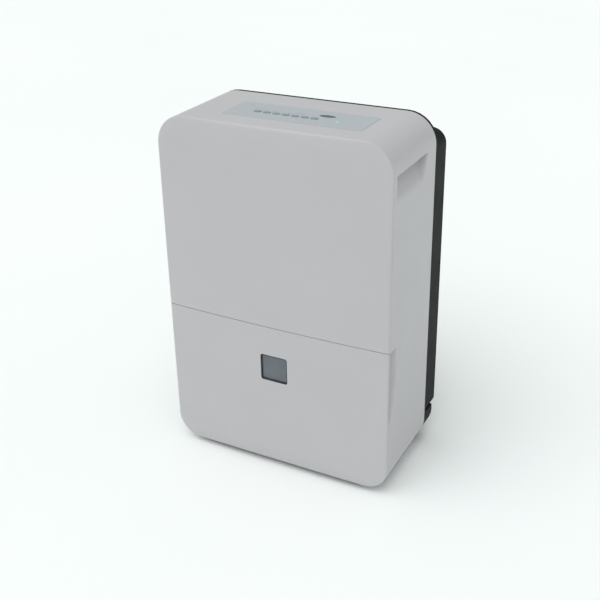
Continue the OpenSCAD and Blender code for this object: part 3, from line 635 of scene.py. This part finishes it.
def front_skin():
    """The whole front face with its rolled edge, as an open sheet."""
    bm = bmesh.new()
    depth = SPLIT_Y - FRONT_Y
    rings = [[] for _ in range(ROLL_STEPS + 2)]
    for x, z, nx, nz in cabinet_outline():
        roll = roll_width(nz)
        fall = depth - SKIRT - front_bow(x, z)
        rings[0].append((x, SPLIT_Y, z))
        for k in range(ROLL_STEPS + 1):
            a = math.pi / 2 * k / ROLL_STEPS
            px = x - nx * roll * (1 - math.cos(a))
            pz = z - nz * roll * (1 - math.cos(a))
            rings[k + 1].append((px, FRONT_Y + front_bow(px, pz) + fall * (1 - math.sin(a)), pz))
    loft(bm, rings, (False, False))

    def on_face(x, z):
        return (x, FRONT_Y + front_bow(x, z), z)

    grid(bm, ACROSS, SIDE_ZS, lambda u, z: on_face(u * straight_x(z), z))
    for s in (-1, 1):
        grid(bm, steps(0, 1, FACE_STEPS), SIDE_ZS,
             lambda t, z, s=s: on_face(s * lerp(straight_x(z), SIDE_X - SIDE_ROLL, t), z))
    for z0, z1 in ((STRAIGHT_LOW, BOTTOM_Z + FOOT_ROLL), (STRAIGHT_HIGH, TOP_Z - TOP_ROLL)):
        grid(bm, ACROSS, steps(z0, z1, FACE_STEPS), lambda u, z: on_face(u * straight_x(z), z))
    for k in range(4):
        arc = []
        for x, z, nx, nz in corner(k):
            roll = roll_width(nz)
            arc.append((x - nx * roll, z - nz * roll))
        cx, cz = corner_centre(k)
        grid(bm, range(len(arc)), steps(0, 1, FACE_STEPS),
             lambda i, t, arc=arc, cx=cx, cz=cz: on_face(lerp(cx, arc[i][0], t), lerp(cz, arc[i][1], t)))
    bmesh.ops.remove_doubles(bm, verts=bm.verts, dist=MERGE)
    return bm


def front_piece(name, z_cut, keep_up, lip=0.0):
    """The front skin on one side of the seam, with a wall that goes back along the seam.

    With a lip, the wall first steps back, then hangs down by the lip."""
    bm = front_skin()
    bmesh.ops.bisect_plane(bm, geom=bm.verts[:] + bm.edges[:] + bm.faces[:], dist=1e-6,
                           plane_co=(0, 0, z_cut), plane_no=(0, 0, -1 if keep_up else 1), clear_outer=True)
    seam = [e for e in bm.edges if e.is_boundary and all(abs(v.co.z - z_cut) < 1e-5 for v in e.verts)]
    for drop, back in [(0, SEAM_STEP), (lip, 0), (0, 1)] if lip else [(0, 1)]:
        out = bmesh.ops.extrude_edge_only(bm, edges=seam)["geom"]
        seam = [g for g in out if isinstance(g, bmesh.types.BMEdge)]
        for v in [g for g in out if isinstance(g, bmesh.types.BMVert)]:
            v.co.y = min(v.co.y + back, SPLIT_Y)
            v.co.z -= drop
    obj = made(name, bm, (0, -1, 0))
    solidify(obj, WALL)
    return obj


def make_front():
    cover = front_piece("front_cover_skin", FRONT[0].z, True, SEAM_LIP)
    ease_edges(cover, (1, SPLIT_Y, -1), (2, FRONT[0].z, 1))
    placed(cover, MATERIALS["white_abs"], "cabinet", "white_abs", "front_cover")

    lower = front_piece("bucket_front_skin", BUCKET[1].z, False)
    face_y = FRONT_Y + front_bow(0, (WINDOW[0].z + WINDOW[1].z) / 2)
    cut(lower, edged_cutter(
        lambda grow: rounded((WINDOW[0].x, WINDOW[0].z), (WINDOW[1].x, WINDOW[1].z), WINDOW_R, inset=-grow),
        lambda u, v, h: (u, face_y - h, v), SPLIT_Y - FRONT_Y))
    ease_edges(lower, (1, SPLIT_Y, -1), (2, BUCKET[1].z, -1))
    placed(lower, MATERIALS["white_abs"], "bucket", "white_abs", "bucket_front")
    posts = bmesh.new()
    for x, z in POST_PLACES:
        lathe(posts, (0, 1, 0), (x, 0, z), [(POST_FRONT_Y, 0), (POST_FRONT_Y, 0.007),
                                           (POST_BACK_Y, 0.006), (POST_BACK_Y, 0)], 32)
    placed(made("bucket_front_posts", posts), MATERIALS["white_abs"], "bucket", "white_abs")


# ---------- The cabinet's side, top and bottom ----------

GRIP_DEPTH = 0.016
GRIP_FRONT_Y = RIGHT_CUP[0].y + WALL
GRIP_REAR_Y = RIGHT_CUP[1].y - WALL
GRIP_LOW_Z = 0.493
# Lengths of the grip's steep front end and curved rear end, and how much the rear end leans
GRIP_FRONT_RUN = 0.003
GRIP_REAR_RUN = 0.013
GRIP_LEAN = 0.35
PANEL_R = 0.006
VENT_R = 0.0008
VENT_FIT = 0.0003
# Width of the shell's rim in front of the open underside
UNDER_RIM = 0.008
SCOOP_DEPTH = 0.008
SCOOP_TOP_Z = BUCKET[1].z - 0.0006
SCOOP_SLOPE = 0.0085
# How far the scoop reaches behind the bucket's edge, as (height, reach)
SCOOP_REACH = [(0.130, 0.0), (0.150, 0.012), (0.200, 0.024), (0.270, 0.024)]
# The grip's roof and its rounded lip, as (x, z) from the inside to the cabinet's corner
HOOD = [(0.1787, 0.5410), (0.1796, 0.5435), (0.1815, 0.5448), (0.1862, 0.5448), (0.1892, 0.5440),
        (0.1905, 0.5424), (0.1914, 0.5404), (0.1922, 0.5392), (0.1938, 0.5382)]


def ramp(t):
    """Starts level, then climbs evenly to 1."""
    t = max(0.0, t)
    return t * t * 2.0 if t < 0.25 else t * 1.1667 - 0.1667


def grip_span(y, z):
    """1 along the grip, 0 outside it: a steep front end and a slanted, curved rear end."""
    rear = GRIP_REAR_Y - GRIP_LEAN * (STRAIGHT_HIGH - z)
    return ease((y - GRIP_FRONT_Y) / GRIP_FRONT_RUN) * (1 - ease((y - rear + GRIP_REAR_RUN) / GRIP_REAR_RUN))


def scoop_depth(y, z):
    """Depth of the finger scoop behind the bucket's edge: a level floor, then a steep rear slope."""
    if z > SCOOP_TOP_Z - 0.0006:
        return 0.0
    reach = 0.0
    for (z0, reach0), (z1, reach1) in zip(SCOOP_REACH, SCOOP_REACH[1:]):
        if z0 <= z:
            reach = lerp(reach0, reach1, min(1.0, (z - z0) / (z1 - z0)))
    full = SCOOP_DEPTH * min(1.0, reach / 0.010)
    return full * max(0.0, min(1.0, (SPLIT_Y + reach - y) / SCOOP_SLOPE))


def shell_rows():
    """Functions of y that give (x, z) round the shell, counter-clockwise from the right side's bottom."""
    heights = joined(steps(STRAIGHT_LOW, STRAIGHT_HIGH, 16),
                     steps(SCOOP_REACH[0][0], SCOOP_TOP_Z - 0.003, 26), [SCOOP_TOP_Z - 0.0008, SCOOP_TOP_Z],
                     steps(GRIP_LOW_Z - 0.002, STRAIGHT_HIGH, 28))

    def side(z):
        def at(y):
            inward = GRIP_DEPTH * ramp((z - GRIP_LOW_Z) / (STRAIGHT_HIGH - GRIP_LOW_Z)) * grip_span(y, z)
            return SIDE_X - inward - scoop_depth(y, z), z
        return at

    def hood(x, z):
        def at(y):
            t = grip_span(y, STRAIGHT_HIGH)
            return lerp(SIDE_X, x, t), lerp(STRAIGHT_HIGH, z, t)
        return at

    def fixed(points):
        return [lambda y, p=p: (p[0], p[1]) for p in points]

    right = [side(z) for z in heights] + [hood(x, z) for x, z in HOOD]
    left = [lambda y, f=f: (-f(y)[0], f(y)[1]) for f in reversed(right)]
    top = fixed(corner(0) + [(u * STRAIGHT_X, TOP_Z) for u in ACROSS[-2:0:-1]] + corner(1))
    foot = fixed(corner(2)[1:] + [(u * FOOT_X, BOTTOM_Z) for u in ACROSS[1:-1]] + corner(3)[:-1])
    return right + top + left + foot


def shell_depths():
    """The places in y where the shell has a ring, close together where its sides change."""
    scoop_end = SPLIT_Y + SCOOP_REACH[-1][1]
    edge = SPLIT_Y + 0.010
    grip = GRIP_FRONT_Y + GRIP_FRONT_RUN
    middle = SPLIT_Y + 0.026
    bend = GRIP_REAR_Y - 0.03
    return joined(steps(SPLIT_Y, edge, 8), steps(edge, grip, 5), [scoop_end - SCOOP_SLOPE, scoop_end],
                  steps(GRIP_FRONT_Y, grip, 6), steps(grip, middle, 5), steps(middle, bend, 12),
                  steps(bend, GRIP_REAR_Y, 20), steps(GRIP_REAR_Y, SHELL_BACK_Y, 6))


def make_shell():
    rows = shell_rows()
    bm = bmesh.new()
    loft(bm, [[(row(y)[0], y, row(y)[1]) for row in rows] for y in shell_depths()], (False, False))
    shell = made("cabinet_skin", bm)
    solidify(shell, SHELL_WALL, False)
    # At the ends of the grip's roof the inside skin folds out past the side, so it goes back in the wall
    for v in shell.data.vertices:
        if abs(v.co.x) > SIDE_X + 1e-5:
            v.co.x = math.copysign(SIDE_X - SHELL_WALL / 2, v.co.x)
    panel = edged_cutter(
        lambda grow: rounded((PANEL_X - PANEL_W / 2, PANEL_Y - PANEL_D / 2),
                             (PANEL_X + PANEL_W / 2, PANEL_Y + PANEL_D / 2), PANEL_R, inset=-grow),
        lambda u, v, h: (u, v, TOP_Z + h), 3 * SHELL_WALL)
    vent = edged_cutter(
        lambda grow: rounded(OUTLET[0].yz, OUTLET[1].yz, VENT_R, inset=-VENT_FIT - grow),
        lambda u, v, h: (-SIDE_X - h, u, v), 3 * SHELL_WALL)
    under = edged_cutter(
        lambda grow: rounded((-STRAIGHT_X, SPLIT_Y + UNDER_RIM), (STRAIGHT_X, SHELL_BACK_Y + 0.01), VENT_R,
                             inset=-grow),
        lambda u, v, h: (u, v, BOTTOM_Z - h), 2 * SHELL_WALL)
    cut(shell, panel, vent, under)
    ease_edges(shell, (1, SPLIT_Y, 1), (1, SHELL_BACK_Y, -1))
    placed(shell, MATERIALS["white_abs"], "cabinet", "white_abs", *SHELL_NODES)


# ---------- Softened copies of the CAD parts ----------


def copy_of(node):
    """A bmesh of a CAD part, welded, with its triangles paired into quads."""
    bm = bmesh.new()
    bm.from_mesh(frame["nodes"][node].data)
    bm.transform(frame["nodes"][node].matrix_world)
    bmesh.ops.remove_doubles(bm, verts=bm.verts, dist=2e-6)
    bmesh.ops.join_triangles(bm, faces=bm.faces, angle_face_threshold=0.01, angle_shape_threshold=3.0)
    return bm


def round_edges(bm, width, chosen, segments):
    """Rounds the sharp edges that chosen(edge) picks."""
    sharp = 0.4
    edges = [e for e in bm.edges if len(e.link_faces) == 2 and e.calc_face_angle(0) > sharp and chosen(e)]
    bmesh.ops.bevel(bm, geom=edges, offset=width, segments=segments, profile=0.5, affect="EDGES",
                    clamp_overlap=True)


def softened(node, body, width, angle=32, shape=None):
    """A copy of a CAD part with its edges rounded. shape(bm) may change it first."""
    bm = copy_of(node)
    if shape:
        shape(bm)
    slot = SLOTS[node]
    mesh = bpy.data.meshes.new(node + "_soft")
    bm.to_mesh(mesh)
    bm.free()
    obj = bpy.data.objects.new(node + "_soft", mesh)
    bpy.context.scene.collection.objects.link(obj)
    soften(obj, width, angle)
    placed(obj, MATERIALS[slot], body, slot, node)


# Beyond this half width or height, the rear cover's edges belong to its outline and not to its slots
REAR_FREE_X = 0.165
REAR_FREE_Z = 0.53
REAR_FLANGE_Y = SHELL_BACK_Y + 0.006


def shape_rear(bm):
    """Larger rounding on the rear cover's outer edges."""

    def outer(e, y):
        mid = (e.verts[0].co + e.verts[1].co) / 2
        flat = all(abs(v.co.y - y) < 2e-4 for v in e.verts)
        return flat and (abs(mid.x) > REAR_FREE_X or mid.z > REAR_FREE_Z)

    round_edges(bm, 0.0035, lambda e: outer(e, REAR[1].y), 5)
    round_edges(bm, 0.0014, lambda e: outer(e, REAR_FLANGE_Y), 3)


def make_rear():
    softened("rear_cover", "cabinet", 0.0005, 40, shape_rear)


SLOTS = {part["node"]: part["material_slot"] for part in frame["record"]["subparts"]}
BODIES = {node: body for body, nodes in frame["record"]["behaviour"]["bodies"].items() for node in nodes}
# Widths of the rounded edges
WIDTHS = {
    "base_pan": 0.0008, "outlet_grille": 0.0003, "control_panel": 0.0003, "display_window": 0.0003,
    "bucket_tub": 0.0005, "bucket_handle": 0.0012, "filter_frame": 0.0006, "drain_spout": 0.0006,
    "cord_gland": 0.0008, "window_gasket": 0.0003, "bucket_window": 0.0004, "electrical_box": 0.0015,
    "float_arm": 0.0004, "float_block": 0.001, "power_led": 0.0004,
}
# Parts whose CAD mesh is shown as it is, and parts that are made above
PLAIN = ("evaporator", "condenser", "discharge_pipe", "suction_pipe", "capillary_tube", "drain_hose",
         "filter_mesh")
MADE = ("front_cover", "bucket_front", "rear_cover", *SHELL_NODES)


def make_rest():
    """Every other part: a softened copy, or the CAD mesh itself with its material."""
    for node, slot in SLOTS.items():
        if node in MADE:
            continue
        if node in PLAIN:
            data = frame["nodes"][node].data
            data.materials.clear()
            data.materials.append(MATERIALS[slot])
            continue
        width = WIDTHS.get(node, 0.0005 if node.startswith(("button", "caster")) else 0.0004)
        softened(node, BODIES[node], width)


make_camera()
make_studio()
make_front()
make_shell()
make_rear()
make_rest()
